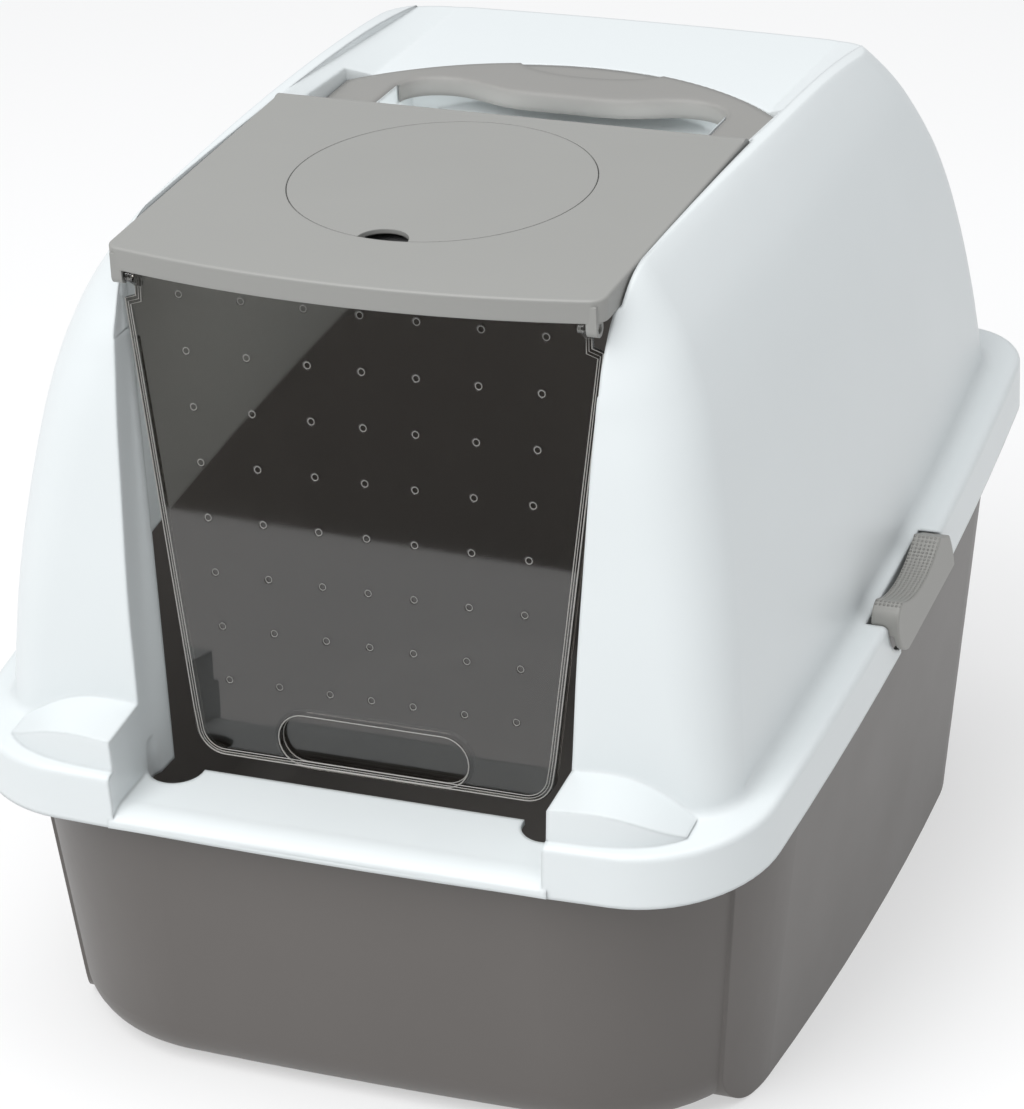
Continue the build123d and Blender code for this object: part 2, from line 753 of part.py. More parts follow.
# Lid: a shallow tray turned over, with a rolled rear edge on two pins, ears for the door,
# and a cup for the filter
with BuildPart() as lid:
    extrude(lid_outline(lid_plane, 0), amount=-lid_lip)
    fillet(lid.faces().sort_by(Axis.Z)[-1].edges().sort_by(Axis.Y)[:-1], lid_edge_radius)
    extrude(lid_outline(lid_plane.offset(-lid_thickness), lid_wall), amount=-lid_lip, mode=Mode.SUBTRACT)
    with BuildSketch(Plane.YZ):
        with Locations((hinge_y + lid_lip, hinge_z)):
            Rectangle(2 * lid_lip, 4 * lid_lip)
    extrude(amount=lid_half_width, both=True, mode=Mode.SUBTRACT)
    add(rod(Plane.YZ.offset(-lid_half_width), (hinge_y, hinge_z), hinge_radius, 2 * lid_half_width))
    with BuildSketch(Plane.YZ):
        with Locations((hinge_y, hinge_z)):
            Circle(hinge_radius - lid_wall)
            Rectangle(2 * hinge_radius, 2 * (hinge_radius - lid_thickness), align=(Align.MAX, Align.CENTER))
            Rectangle(2 * hinge_radius, hinge_radius, align=(Align.MAX, Align.MAX))
    extrude(amount=lid_half_width - hinge_knuckle, both=True, mode=Mode.SUBTRACT)
    for sign in (-1, 1):
        side = Plane.YZ.offset(sign * (lid_half_width - hinge_knuckle))
        add(rod(side, (hinge_y, hinge_z), hinge_pin_radius, sign * (hinge_knuckle + hinge_pin_length)))
    cup_wall = cover_radius + cover_play + lid_wall
    seat = cover_thickness + rest_gap
    add(rod(lid_plane, (0, filter_on_lid), cup_wall, -seat - lid_wall))
    add(rod(lid_plane, (0, filter_on_lid), cup_radius + lid_wall, -cup_depth - lid_wall))
    add(rod(lid_plane, (0, filter_on_lid), cover_radius + cover_play, -seat), mode=Mode.SUBTRACT)
    add(rod(lid_plane, (0, filter_on_lid), cup_radius, -cup_depth), mode=Mode.SUBTRACT)
    with BuildSketch(lid_plane.offset(-cup_depth - lid_wall)):
        for row in range(grille_slots):
            across = (row - (grille_slots - 1) / 2) * grille_pitch
            reach = math.sqrt((cup_radius - grille_margin) ** 2 - across ** 2)
            with Locations((0, filter_on_lid + across)):
                SlotOverall(2 * reach, grille_slot_width)
    extrude(amount=lid_wall, mode=Mode.SUBTRACT)
    for sign in (-1, 1):
        with BuildSketch(Plane.YZ.offset(sign * ear_inner)):
            with Locations((door_pivot_y, door_pivot_z)):
                Circle(ear_radius)
                Rectangle(2 * ear_radius, hinge_z - door_pivot_z, align=(Align.CENTER, Align.MIN))
        extrude(amount=sign * (ear_outer - ear_inner))
    hole = rod(
        Plane.YZ.offset(-ear_outer), (door_pivot_y, door_pivot_z), door_pin_radius + running_fit, 2 * ear_outer,
    )
    add(hole, mode=Mode.SUBTRACT)
lid.part.label = "lid"
export_step(lid.part, "parts/lid.step")

# Charcoal pad on the cup's grille
with BuildPart() as carbon_filter:
    add(rod(lid_plane.offset(-cup_depth), (0, filter_on_lid), cup_radius - pad_play, pad_thickness))
carbon_filter.part.label = "carbon_filter"
export_step(carbon_filter.part, "parts/carbon_filter.step")

# Filter cover: a flush disc with a notch for the fingertip and a rim below that centres it
with BuildPart() as filter_cover:
    add(rod(lid_plane, (0, filter_on_lid), cover_radius, -cover_thickness))
    with BuildSketch(lid_plane.offset(-cover_thickness)):
        with Locations((0, filter_on_lid)):
            Circle(cup_radius - pad_play)
            Circle(cup_radius - pad_play - cover_rim_width, mode=Mode.SUBTRACT)
    extrude(amount=-cover_rim_depth)
    notch = rod(lid_plane, (0, filter_on_lid - cover_radius), cover_notch_radius, -lid_lip)
    add(notch, mode=Mode.SUBTRACT)
filter_cover.part.label = "filter_cover"
export_step(filter_cover.part, "parts/filter_cover.step")

# Door: a clear sheet with a rim behind its edge, two arms with pins, and a pull near the foot
with BuildPart() as door:
    extrude(door_outline(door_plane, 0), amount=-door_thickness)
    with BuildSketch(door_plane.offset(-door_thickness)):
        add(door_outline(Plane.XY, 0))
        add(door_outline(Plane.XY, door_rim_width), mode=Mode.SUBTRACT)
        with Locations((0, -door_shoulder_drop)):
            Rectangle(2 * door_shoulder_half, 3 * door_shoulder_drop, mode=Mode.SUBTRACT)
    extrude(amount=-door_rim_depth)
    for sign in (-1, 1):
        with BuildSketch(Plane.YZ.offset(sign * (door_top_half - door_arm_thickness))):
            with BuildLine():
                behind = door_face_at_top + door_thickness / 2
                Polyline(
                    (door_pivot_y, door_pivot_z + door_arm_radius), (behind, door_top - 0.2),
                    (behind - 0.8, door_top - door_arm_foot),
                    (door_pivot_y, door_pivot_z - door_arm_radius), close=True,
                )
            make_face()
            with Locations((door_pivot_y, door_pivot_z)):
                Circle(door_arm_radius)
        extrude(amount=sign * door_arm_thickness)
        arm = Plane.YZ.offset(sign * (door_top_half - door_arm_thickness))
        pin = sign * (door_pin_reach - door_top_half + door_arm_thickness)
        add(rod(arm, (door_pivot_y, door_pivot_z), door_pin_radius, pin))
    pull_on_door = (pull_height - door_top) / math.cos(lean)
    with BuildSketch(door_plane.offset(-door_thickness)):
        with Locations((0, pull_on_door)):
            SlotOverall(2 * pull_half_length, 2 * pull_half_height)
    extrude(amount=door_thickness - pull_depth, taper=8)
    with BuildSketch(door_plane):
        with Locations((0, pull_on_door)):
            SlotOverall(2 * (pull_half_length - pull_wall), 2 * (pull_half_height - pull_wall))
    extrude(amount=pull_wall - pull_depth, taper=8, mode=Mode.SUBTRACT)
    with BuildSketch(door_plane):
        for row in range(dimple_rows):
            part_way = row / (dimple_rows - 1)
            inner = dimple_inner[0] + (dimple_inner[1] - dimple_inner[0]) * part_way
            outer = dimple_outer[0] + (dimple_outer[1] - dimple_outer[0]) * part_way
            down = (dimple_first - door_top) / math.cos(lean) - row * dimple_pitch
            for column in (inner, inner + outer, inner + 2 * outer):
                with Locations((-column, down), (column, down)):
                    Circle(dimple_radius)
            with Locations((0, down)):
                Circle(dimple_radius)
    extrude(amount=-dimple_depth, mode=Mode.SUBTRACT)
door.part.label = "door"
export_step(door.part, "parts/door.step")
hang = door.part.center(CenterOf.MASS).Y - door_pivot_y
print("the door's centre of mass hangs", round(hang, 2), "mm behind the line of its pins")

# Latches: a saddle for the thumb, a plate down the skirt with a claw, and two pins
with BuildPart() as latch_right:
    inside = latch_plane.offset(latch_inner)
    extrude(latch_outline(inside, 0), amount=latch_outer - latch_inner)
    fillet(latch_right.faces().sort_by(Axis.X)[-1].edges(), latch_edge_radius)
    extrude(latch_outline(inside, -latch_wall), amount=latch_outer - latch_inner - latch_plate, mode=Mode.SUBTRACT)
    with BuildSketch(inside):
        Rectangle(3 * latch_heel, 2 * (latch_pin_height - latch_boss_radius))
    extrude(amount=latch_outer - latch_inner - latch_plate, mode=Mode.SUBTRACT)
    with BuildSketch(inside):
        Rectangle(3 * latch_heel, 2 * (latch_pin_height + 1))
    extrude(amount=latch_pin_x - latch_inner - latch_boss_radius - rest_gap, mode=Mode.SUBTRACT)
    for end in latch_ends:
        inward = math.copysign(latch_wall + 1, -end)
        add(rod(latch_pin_plane(end), (0, 0), latch_boss_radius, inward))
        reach = math.copysign(latch_pin_length, end)
        add(rod(latch_pin_plane(end + inward / 2), (0, 0), latch_pin_radius, reach - inward / 2))
    with BuildSketch(latch_pin_plane(claw_inset - catch_half_length)):
        with BuildLine():
            plate = latch_outer - latch_plate / 2 - latch_pin_x
            top = latch_pin_height - claw_height
            tip = claw_reach - latch_pin_x
            Polyline(
                (plate, top), (tip, top), (tip, top + claw_tip), (plate, top + claw_root), close=True,
            )
        make_face()
    extrude(amount=2 * (catch_half_length - claw_inset))
latch_right.part.label = "latch_right"
export_step(latch_right.part, "parts/latch_right.step")

with BuildPart() as latch_left:
    add(latch_right.part.mirror(Plane.YZ))
latch_left.part.label = "latch_left"
export_step(latch_left.part, "parts/latch_left.step")

pieces = (pan, hood, handle, lid, carbon_filter, filter_cover, door, latch_right, latch_left)
for piece in pieces:
    part = piece.part
    print(part.label, round(part.volume / 1000, 1), "cm3", part.is_valid, len(part.solids()))
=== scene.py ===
# %% [markdown]
# # A covered litter box, dressed for its photograph
#
# The box is a set of large plastic mouldings: a dark pan, a white hood, a grey lid with a
# round filter cover, a smoked clear door, an arched handle and two side latches. Their
# shapes and joints come from the imported CAD model. This script gives each of them the
# surface that its plastic has, models the soft charcoal pad and the bright lines painted on
# the door as highlights, and lights and frames it all.

# %% Load the model
import bmesh
import bpy
import math
from mathutils import Matrix, Vector, noise


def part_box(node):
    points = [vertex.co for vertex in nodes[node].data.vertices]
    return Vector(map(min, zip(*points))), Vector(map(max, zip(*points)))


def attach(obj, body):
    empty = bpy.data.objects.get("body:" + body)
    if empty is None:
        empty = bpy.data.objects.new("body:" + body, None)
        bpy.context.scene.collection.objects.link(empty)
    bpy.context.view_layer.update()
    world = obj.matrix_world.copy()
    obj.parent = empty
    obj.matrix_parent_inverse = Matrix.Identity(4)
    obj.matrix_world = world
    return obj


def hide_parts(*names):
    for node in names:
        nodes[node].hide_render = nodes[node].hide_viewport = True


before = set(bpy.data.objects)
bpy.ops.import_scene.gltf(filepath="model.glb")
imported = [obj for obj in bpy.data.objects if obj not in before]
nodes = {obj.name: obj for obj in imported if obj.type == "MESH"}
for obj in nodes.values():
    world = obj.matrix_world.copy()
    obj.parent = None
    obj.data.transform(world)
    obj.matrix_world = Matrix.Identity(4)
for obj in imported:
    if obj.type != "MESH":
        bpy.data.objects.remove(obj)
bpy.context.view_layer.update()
print("nodes:", ", ".join(sorted(nodes)))

# %% [markdown]
# Blender works in metres and in linear light. The sizes of the box and its surfaces are
# written here in millimetres, and colours as the sRGB hex values that a painter's chart
# would give, so a factor and a function turn them into what Blender wants. Places in the
# frame and in the studio are in metres. Two more functions start a material and add a
# node to it, with its settings and links.

# %% Helpers for units, colours and nodes
MM = 0.001


def linear(code):
    """The linear RGBA of an sRGB hex colour such as #A1B2C3."""
    channels = [int(code[i:i + 2], 16) / 255 for i in (1, 3, 5)]
    light = [c / 12.92 if c <= 0.04045 else ((c + 0.055) / 1.055) ** 2.4 for c in channels]
    return light + [1.0]


def add_node(tree, kind, settings=(), values=(), links=()):
    """Adds a node, sets its properties and socket values, and links sockets into it."""
    node = tree.nodes.new(kind)
    for name, value in dict(settings).items():
        setattr(node, name, value)
    for name, value in dict(values).items():
        node.inputs[name].default_value = value
    for name, socket in dict(links).items():
        tree.links.new(socket, node.inputs[name])
    return node


def new_material(name):
    """An empty material and its node tree."""
    material = bpy.data.materials.new(name)
    material.use_nodes = True
    material.node_tree.nodes.clear()
    return material, material.node_tree


# %% [markdown]
# Moulded plastic shows three things up close. Its corners are slightly round, so they
# catch a thin line of light: the Bevel node rounds the shading there and leaves the mesh
# alone. Its surface carries the texture of the steel mould, as a fine bump. And its
# gloss is a little uneven, because the plastic shrinks and is handled. One function
# makes this family, and each plastic on the box is a call with its own sizes. Its wide
# clouds of tone and gloss, and the waves of a thick moulding, have one size for them all.

# %% Moulded plastic
CLOUD_WIDTH = 90
WAVE_WIDTH = 45
GLOSSIER = -0.04
DULLER = 0.05
BEVEL_SAMPLES = 6

# A Mix node lists its sockets once for each kind of data, so its colours go by number.
MIX_FACTOR = 0
MIX_FIRST = 6
MIX_SECOND = 7
MIX_RESULT = 2


def moulded_plastic(name, colour, shade, roughness, ior, corner, grain, grain_depth, wave_depth=0):
    """Plastic from a steel mould. Sizes are in millimetres, and shade is a second, close tone."""
    material, tree = new_material(name)
    place = add_node(tree, "ShaderNodeTexCoord").outputs["Object"]
    clouds = add_node(
        tree, "ShaderNodeTexNoise",
        values={"Scale": 1 / (CLOUD_WIDTH * MM), "Detail": 3.0, "Roughness": 0.5},
        links={"Vector": place},
    ).outputs["Fac"]
    tone = add_node(
        tree, "ShaderNodeMix", settings={"data_type": "RGBA"},
        values={MIX_FIRST: linear(colour), MIX_SECOND: linear(shade)},
        links={MIX_FACTOR: clouds},
    ).outputs[MIX_RESULT]
    gloss = add_node(
        tree, "ShaderNodeMapRange",
        values={"To Min": roughness + GLOSSIER, "To Max": roughness + DULLER},
        links={"Value": clouds},
    ).outputs["Result"]
    surface = add_node(
        tree, "ShaderNodeBevel",
        settings={"samples": BEVEL_SAMPLES}, values={"Radius": corner * MM},
    ).outputs["Normal"]
    reliefs = [(grain, grain_depth, {"Detail": 2.0, "Roughness": 0.6})]
    if wave_depth:
        reliefs.append((WAVE_WIDTH, wave_depth, {"Detail": 1.0, "Roughness": 0.5}))
    for width, depth, texture in reliefs:
        relief = add_node(
            tree, "ShaderNodeTexNoise",
            values={"Scale": 1 / (width * MM), **texture},
            links={"Vector": place},
        ).outputs["Fac"]
        surface = add_node(
            tree, "ShaderNodeBump",
            values={"Strength": 1.0, "Distance": depth * MM},
            links={"Height": relief, "Normal": surface},
        ).outputs["Normal"]
    plastic = add_node(
        tree, "ShaderNodeBsdfPrincipled",
        values={"IOR": ior},
        links={"Base Color": tone, "Roughness": gloss, "Normal": surface},
    )
    add_node(tree, "ShaderNodeOutputMaterial", links={"Surface": plastic.outputs["BSDF"]})
    return material


# %% [markdown]
# The hood is polypropylene from a polished mould: cool white, with a soft gloss, broad
# highlights and the very slight waviness that thick mouldings keep from cooling. Its
# corners are well rounded, so its Bevel is wide. A CAD node only gets a better material:
# its shape and place stay the model's.

# %% The hood's polished white polypropylene
def dress(node, material):
    """Gives a CAD node its material."""
    nodes[node].data.materials.clear()
    nodes[node].data.materials.append(material)
    print(node, "is", material.name)


polished_white = moulded_plastic(
    "polished_white_polypropylene", colour="#D9DEDF", shade="#D6DBDC",
    roughness=0.34, ior=1.49, corner=3.6, grain=1.4, grain_depth=0.004, wave_depth=0.05,
)
dress("hood", polished_white)

# %% [markdown]
# The pan is the same plastic in a dark warm grey, from a spark-eroded mould whose fine
# grain hides scratches. The real grain is about 0.2 mm wide; it is drawn at 0.9 mm so
# that it shows at the distance of the photograph.

# %% The pan's grained grey polypropylene
grained_grey = moulded_plastic(
    "grained_grey_polypropylene", colour="#5F5B58", shade="#5B5754",
    roughness=0.42, ior=1.5, corner=1.6, grain=0.9, grain_depth=0.02,
)
dress("pan", grained_grey)

# %% [markdown]
# The lid and the filter cover are ABS, a harder plastic, in a lighter satin grey, and the
# handle is the same in a slightly warmer one. The handle's grey is also darker, as painted
# shade for the way its top turns from the light. The satin comes from a blasted
# mould, finer than the pan's grain. It is drawn at 0.7 mm, as coarse as it needs to show.
# The handle is rounded where the hand goes under it, and its wide Bevel stands for that.

# %% The satin greys of the lid, its cover and the handle
satin_grey = moulded_plastic(
    "satin_grey_abs", colour="#92928F", shade="#8E8E8B",
    roughness=0.48, ior=1.52, corner=1.0, grain=0.7, grain_depth=0.012,
)
# The handle's warm grey is darkened as painted shade, because its top turns from the light.
painted_shade_warm_grey = moulded_plastic(
    "painted_shade_warm_grey_abs", colour="#8D8C89", shade="#898885",
    roughness=0.46, ior=1.52, corner=8.0, grain=0.7, grain_depth=0.012,
)
dress("lid", satin_grey)
dress("filter_cover", satin_grey)
dress("handle", painted_shade_warm_grey)

# %% [markdown]
# Each latch carries a field of small raised pips on its saddle, where the thumb pushes.
# They are too small to be worth a mesh, so the latch's own plastic draws them as round
# bumps. Two sine waves across each other make the square grid: their sum runs from -2 to
# 2, and a pip rises where it is high. A mask that follows the surface's direction keeps
# the pips on the saddle, which faces up, and off the plate and the ends.

# %% The latches' pips
PIP_FOOT = 0.5
PIP_TOP = 1.7
SADDLE_STARTS = 0.75
SADDLE_IS_FULL = 0.9


def pipped_plastic(name, colour, roughness, ior, corner, pip_spacing, pip_depth):
    """The latch's satin plastic with a grid of pips, at real spacing in millimetres."""
    material, tree = new_material(name)
    coordinates = add_node(tree, "ShaderNodeTexCoord").outputs
    place = add_node(tree, "ShaderNodeSeparateXYZ", links={"Vector": coordinates["Object"]})
    facing = add_node(tree, "ShaderNodeSeparateXYZ", links={"Vector": coordinates["Normal"]})
    waves = []
    for axis in ("X", "Y"):
        angle = add_node(
            tree, "ShaderNodeMath", settings={"operation": "MULTIPLY"},
            values={1: 2 * math.pi / (pip_spacing * MM)}, links={0: place.outputs[axis]},
        ).outputs["Value"]
        wave = add_node(tree, "ShaderNodeMath", settings={"operation": "SINE"}, links={0: angle})
        waves.append(wave.outputs["Value"])
    grid = add_node(
        tree, "ShaderNodeMath",
        settings={"operation": "ADD"}, links={0: waves[0], 1: waves[1]},
    ).outputs["Value"]
    pips = add_node(
        tree, "ShaderNodeMapRange",
        values={"From Min": PIP_FOOT, "From Max": PIP_TOP}, links={"Value": grid},
    ).outputs["Result"]
    saddle = add_node(
        tree, "ShaderNodeMapRange",
        values={"From Min": SADDLE_STARTS, "From Max": SADDLE_IS_FULL},
        links={"Value": facing.outputs["Z"]},
    ).outputs["Result"]
    height = add_node(
        tree, "ShaderNodeMath", settings={"operation": "MULTIPLY"}, links={0: pips, 1: saddle},
    ).outputs["Value"]
    round_corner = add_node(
        tree, "ShaderNodeBevel",
        settings={"samples": BEVEL_SAMPLES}, values={"Radius": corner * MM},
    ).outputs["Normal"]
    surface = add_node(
        tree, "ShaderNodeBump",
        values={"Strength": 1.0, "Distance": pip_depth * MM},
        links={"Height": height, "Normal": round_corner},
    ).outputs["Normal"]
    plastic = add_node(
        tree, "ShaderNodeBsdfPrincipled",
        values={"Base Color": linear(colour), "Roughness": roughness, "IOR": ior},
        links={"Normal": surface},
    )
    add_node(tree, "ShaderNodeOutputMaterial", links={"Surface": plastic.outputs["BSDF"]})
    return material


pipped_grey = pipped_plastic(
    "pipped_grey_abs", colour="#92918D",
    roughness=0.47, ior=1.52, corner=1.4, pip_spacing=2.3, pip_depth=0.9,
)
dress("latch_right", pipped_grey)
dress("latch_left", pipped_grey)

# %% [markdown]
# The door is a clear sheet of polystyrene with a smoke tint. It is glass to Blender: all
# its light passes through, and the colour is what one crossing of the surface lets by.
# A trace of scuffing keeps its reflections from looking like a perfect mirror's.
# Polystyrene has an IOR of 1.59. It and the specular level are set higher here, because
# the photograph's door mirrors the floor more strongly than those give.

# %% The door's smoked polystyrene
SCUFF_WIDTH = 60
CLEAREST = 0.6
HAZIEST = 1.6


def smoked_sheet(name, tint, roughness, ior, specular, corner):
    """A clear tinted plastic sheet. Its roughness is spread from the clearest to the haziest."""
    material, tree = new_material(name)
    place = add_node(tree, "ShaderNodeTexCoord").outputs["Object"]
    scuffs = add_node(
        tree, "ShaderNodeTexNoise",
        values={"Scale": 1 / (SCUFF_WIDTH * MM), "Detail": 4.0},
        links={"Vector": place},
    ).outputs["Fac"]
    haze = add_node(
        tree, "ShaderNodeMapRange",
        values={"To Min": roughness * CLEAREST, "To Max": roughness * HAZIEST},
        links={"Value": scuffs},
    ).outputs["Result"]
    polished_edge = add_node(
        tree, "ShaderNodeBevel",
        settings={"samples": BEVEL_SAMPLES}, values={"Radius": corner * MM},
    ).outputs["Normal"]
    sheet = add_node(
        tree, "ShaderNodeBsdfPrincipled",
        values={
            "Base Color": linear(tint), "IOR": ior,
            "Transmission Weight": 1.0, "Specular IOR Level": specular,
        },
        links={"Roughness": haze, "Normal": polished_edge},
    )
    add_node(tree, "ShaderNodeOutputMaterial", links={"Surface": sheet.outputs["BSDF"]})
    return material


smoked_polystyrene = smoked_sheet(
    "smoked_polystyrene", tint="#938F8A",
    roughness=0.03, ior=1.72, specular=0.85, corner=0.9,
)
dress("door", smoked_polystyrene)

# %% [markdown]
# Clear plastic shows its edges more than its faces. The door's small dimples catch light
# round their rims, and light that runs along inside the sheet comes out at its edge and
# round the pull. These bright lines are painted highlights, each a thin closed tube of pale
# plastic. A ring round a dimple is one small circle, spun about the dimple's middle. A line
# along a path has a circle at each point of the path, square to it, and each pair of
# neighbours is bridged. A curve with a bevel would do as well, but its points would have
# to be turned into a mesh before they can be placed with the rest. These functions take
# millimetres and give a bmesh in metres.

# %% Thin closed lines in bmesh
LINE_SIDES = 6
RING_STEPS = 20
UPWARD = Vector((0, 0, 1))


def add_section(shape, point, ahead, line_radius):
    """Adds a line's small circle, square to the way ahead, and gives its corners and edges."""
    ahead = ahead.normalized()
    turned = Matrix((UPWARD, ahead.cross(UPWARD), ahead)).transposed().to_4x4()
    corners = bmesh.ops.create_circle(
        shape, segments=LINE_SIDES, radius=line_radius * MM,
        matrix=Matrix.Translation(point * MM) @ turned,
    )["verts"]
    edges = dict.fromkeys(edge for corner in corners for edge in corner.link_edges)
    return corners, list(edges)


def add_ring(shape, middle, depth, radius, line_radius):
    """Adds a ring round a point in the XY plane, at a depth below it."""
    centre = Vector((*middle, -depth))
    start = centre + Vector((radius, 0, 0))
    corners, edges = add_section(shape, start, Vector((0, 1, 0)), line_radius)
    bmesh.ops.spin(
        shape, geom=corners + edges, cent=centre * MM, axis=UPWARD,
        angle=2 * math.pi, steps=RING_STEPS, use_merge=True,
    )


def add_line(shape, path, depth, line_radius):
    """Adds a closed line through points in the XY plane, at a depth below it."""
    points = [Vector((x, y, -depth)) for x, y in path]
    sections = []
    for before, point, after in zip(points[-1:] + points, points, points[1:] + points[:1]):
        corners, edges = add_section(shape, point, after - before, line_radius)
        sections.append(edges)
    for index, edges in enumerate(sections):
        bmesh.ops.bridge_loops(shape, edges=sections[index - 1] + edges)


def arc(centre, radius, first, last, steps):
    """Points of an arc, with angles in degrees, both ends included."""
    turns = [math.radians(first + (last - first) * step / steps) for step in range(steps + 1)]
    across, along = centre
    return [(across + radius * math.cos(turn), along + radius * math.sin(turn)) for turn in turns]


# %% [markdown]
# The lines are laid out flat, across the door and up it, from the middle of its top edge,
# so that heights are negative. The dimples stand in eight rows of seven, and their columns
# draw together towards the foot, as the door does. The pull is a shallow cup with round
# ends: one line goes round its mouth, in the front of the sheet, and one round its floor.

# %% The lines round the dimples and the pull
DIMPLE_ROWS = 8
DIMPLE_COLUMNS = range(-3, 4)
DIMPLE_RADIUS = 1.8
FIRST_ROW = -13.03
ROW_PITCH = 30.6
TOP_FIRST_COLUMN = 31.3
FOOT_FIRST_COLUMN = 23.7
TOP_COLUMN_PITCH = 35.1
FOOT_COLUMN_PITCH = 29.1
RING_DEPTH = 0.3
RING_LINE_RADIUS = 0.2
PULL_MIDDLE = -256.6
PULL_HALF_LENGTH = 54.6
PULL_HALF_HEIGHT = 14.6
PULL_END_STEPS = 12
PULL_MOUTH = {"inset": 0, "depth": 0.3, "line_radius": 0.4}
PULL_FLOOR = {"inset": 0.7, "depth": 4.6, "line_radius": 0.3}

line_shape = bmesh.new()
for row in range(DIMPLE_ROWS):
    part_way = row / (DIMPLE_ROWS - 1)
    first_column = TOP_FIRST_COLUMN + (FOOT_FIRST_COLUMN - TOP_FIRST_COLUMN) * part_way
    pitch = TOP_COLUMN_PITCH + (FOOT_COLUMN_PITCH - TOP_COLUMN_PITCH) * part_way
    for column in DIMPLE_COLUMNS:
        across = math.copysign(first_column + (abs(column) - 1) * pitch, column) if column else 0
        dimple = (across, FIRST_ROW - row * ROW_PITCH)
        add_ring(line_shape, dimple, RING_DEPTH, DIMPLE_RADIUS, RING_LINE_RADIUS)

for line in (PULL_MOUTH, PULL_FLOOR):
    end_radius = PULL_HALF_HEIGHT - line["inset"]
    reach = PULL_HALF_LENGTH - PULL_HALF_HEIGHT
    right_end = arc((reach, PULL_MIDDLE), end_radius, -90, 90, PULL_END_STEPS)
    left_end = arc((-reach, PULL_MIDDLE), end_radius, 90, 270, PULL_END_STEPS)
    add_line(line_shape, right_end + left_end, line["depth"], line["line_radius"])
print("rings:", DIMPLE_ROWS * len(DIMPLE_COLUMNS), "faces so far:", len(line_shape.faces))

# %% [markdown]
# The door's edge shows as three bright lines side by side, painted highlights for the edge
# itself, the inner edge of the 3 mm rim behind it, and the light between the two. Each
# follows the outline at its own inset, which the list gives with the line's radius. The
# outline is narrow between the lid's ears, steps out below them, tapers down to the foot
# and turns the corner in an arc.
# Half of it is enough, because the other half mirrors it.

# %% The lines along the door's edge
TOP_HALF_WIDTH = 126.3
SHOULDER_HALF_WIDTH = 132.4
FOOT_HALF_WIDTH = 101.0
EAR_FOOT = -16.0
SHOULDER = -18.0
DOOR_FOOT = -271.66
CORNER_RADIUS = 16.0
CORNER_SHIFT = 1.2
CORNER_STEPS = 8
SIDE_ANGLE = -7
TAPER_END_HEIGHT = 26
TAPER_END_SHIFT = 3
EDGE_LINES = ((0.3, 0.38), (1.9, 0.24), (3.3, 0.3))


def door_outline(inset):
    """Points of the door's outline, brought in by an inset."""
    foot = FOOT_HALF_WIDTH - inset
    radius = CORNER_RADIUS - inset
    corner_middle = (foot - radius + CORNER_SHIFT, DOOR_FOOT + inset + radius)
    half = [
        (TOP_HALF_WIDTH - inset, -inset),
        (TOP_HALF_WIDTH - inset, EAR_FOOT - inset),
        (SHOULDER_HALF_WIDTH - inset, SHOULDER - inset),
        (foot + TAPER_END_SHIFT, DOOR_FOOT + TAPER_END_HEIGHT),
    ]
    half += arc(corner_middle, radius, SIDE_ANGLE, -90, CORNER_STEPS)
    return half + [(-x, y) for x, y in reversed(half)]


for inset, line_radius in EDGE_LINES:
    add_line(line_shape, door_outline(inset), 0, line_radius)
print("edge lines:", len(EDGE_LINES), "faces so far:", len(line_shape.faces))

# %% [markdown]
# The flat layout is stood up and leaned back as the door is, with its top at the door's.
# Spinning and bridging don't see to which way faces point, so that is put right for all
# lines at once. A small function then makes an object of the finished bmesh, and the pad
# and the floor are made with it too.

# %% Stand the lines on the door
DOOR_TOP = Vector((0, -0.1959, 0.450))
DOOR_LEAN = math.radians(4.0)


def new_piece(name, shape, smooth=True):
    """A finished bmesh as an object at the origin, with its place in its mesh."""
    mesh = bpy.data.meshes.new(name)
    shape.to_mesh(mesh)
    shape.free()
    for face in mesh.polygons:
        face.use_smooth = smooth
    piece = bpy.data.objects.new(name, mesh)
    bpy.context.scene.collection.objects.link(piece)
    print(name, "has", len(mesh.polygons), "faces")
    return piece


stood_up = Matrix.Rotation(math.pi / 2 - DOOR_LEAN, 4, "X")
bmesh.ops.transform(
    line_shape, verts=line_shape.verts[:], matrix=Matrix.Translation(DOOR_TOP) @ stood_up,
)
bmesh.ops.recalc_face_normals(line_shape, faces=line_shape.faces[:])
# The door's bright lines are painted highlights at its edge, its dimple rims and its pull.
door_highlight_lines = new_piece("door_highlight_lines", line_shape)

# %% [markdown]
# The painted highlights are an opaque light grey with a little gloss, so that a thin line
# of it looks pale whatever stands behind. The lines move with the door.

# %% The lines' painted highlight grey
# An opaque light grey that paints the highlights on the door.
painted_highlight, painted_highlight_tree = new_material("painted_highlight_polystyrene")
painted_highlight_shader = add_node(
    painted_highlight_tree, "ShaderNodeBsdfPrincipled",
    values={"Base Color": linear("#A3A19D"), "Roughness": 0.35, "IOR": 1.59},
)
add_node(
    painted_highlight_tree, "ShaderNodeOutputMaterial", links={"Surface": painted_highlight_shader.outputs["BSDF"]},
)
door_highlight_lines.data.materials.append(painted_highlight)
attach(door_highlight_lines, "door")
print(door_highlight_lines.name, "are", painted_highlight.name)

# %% [markdown]
# Under the round cover lies a charcoal pad: needled felt, under 8 mm thick, punched from
# a sheet. A plain disc would look like rubber, so the pad is a bmesh disc with a soft
# shoulder, divided into rings by insets and moved a little by noise, as loose felt is.
# It stands in for the CAD disc, leans with the lid and stays inside the disc's space.

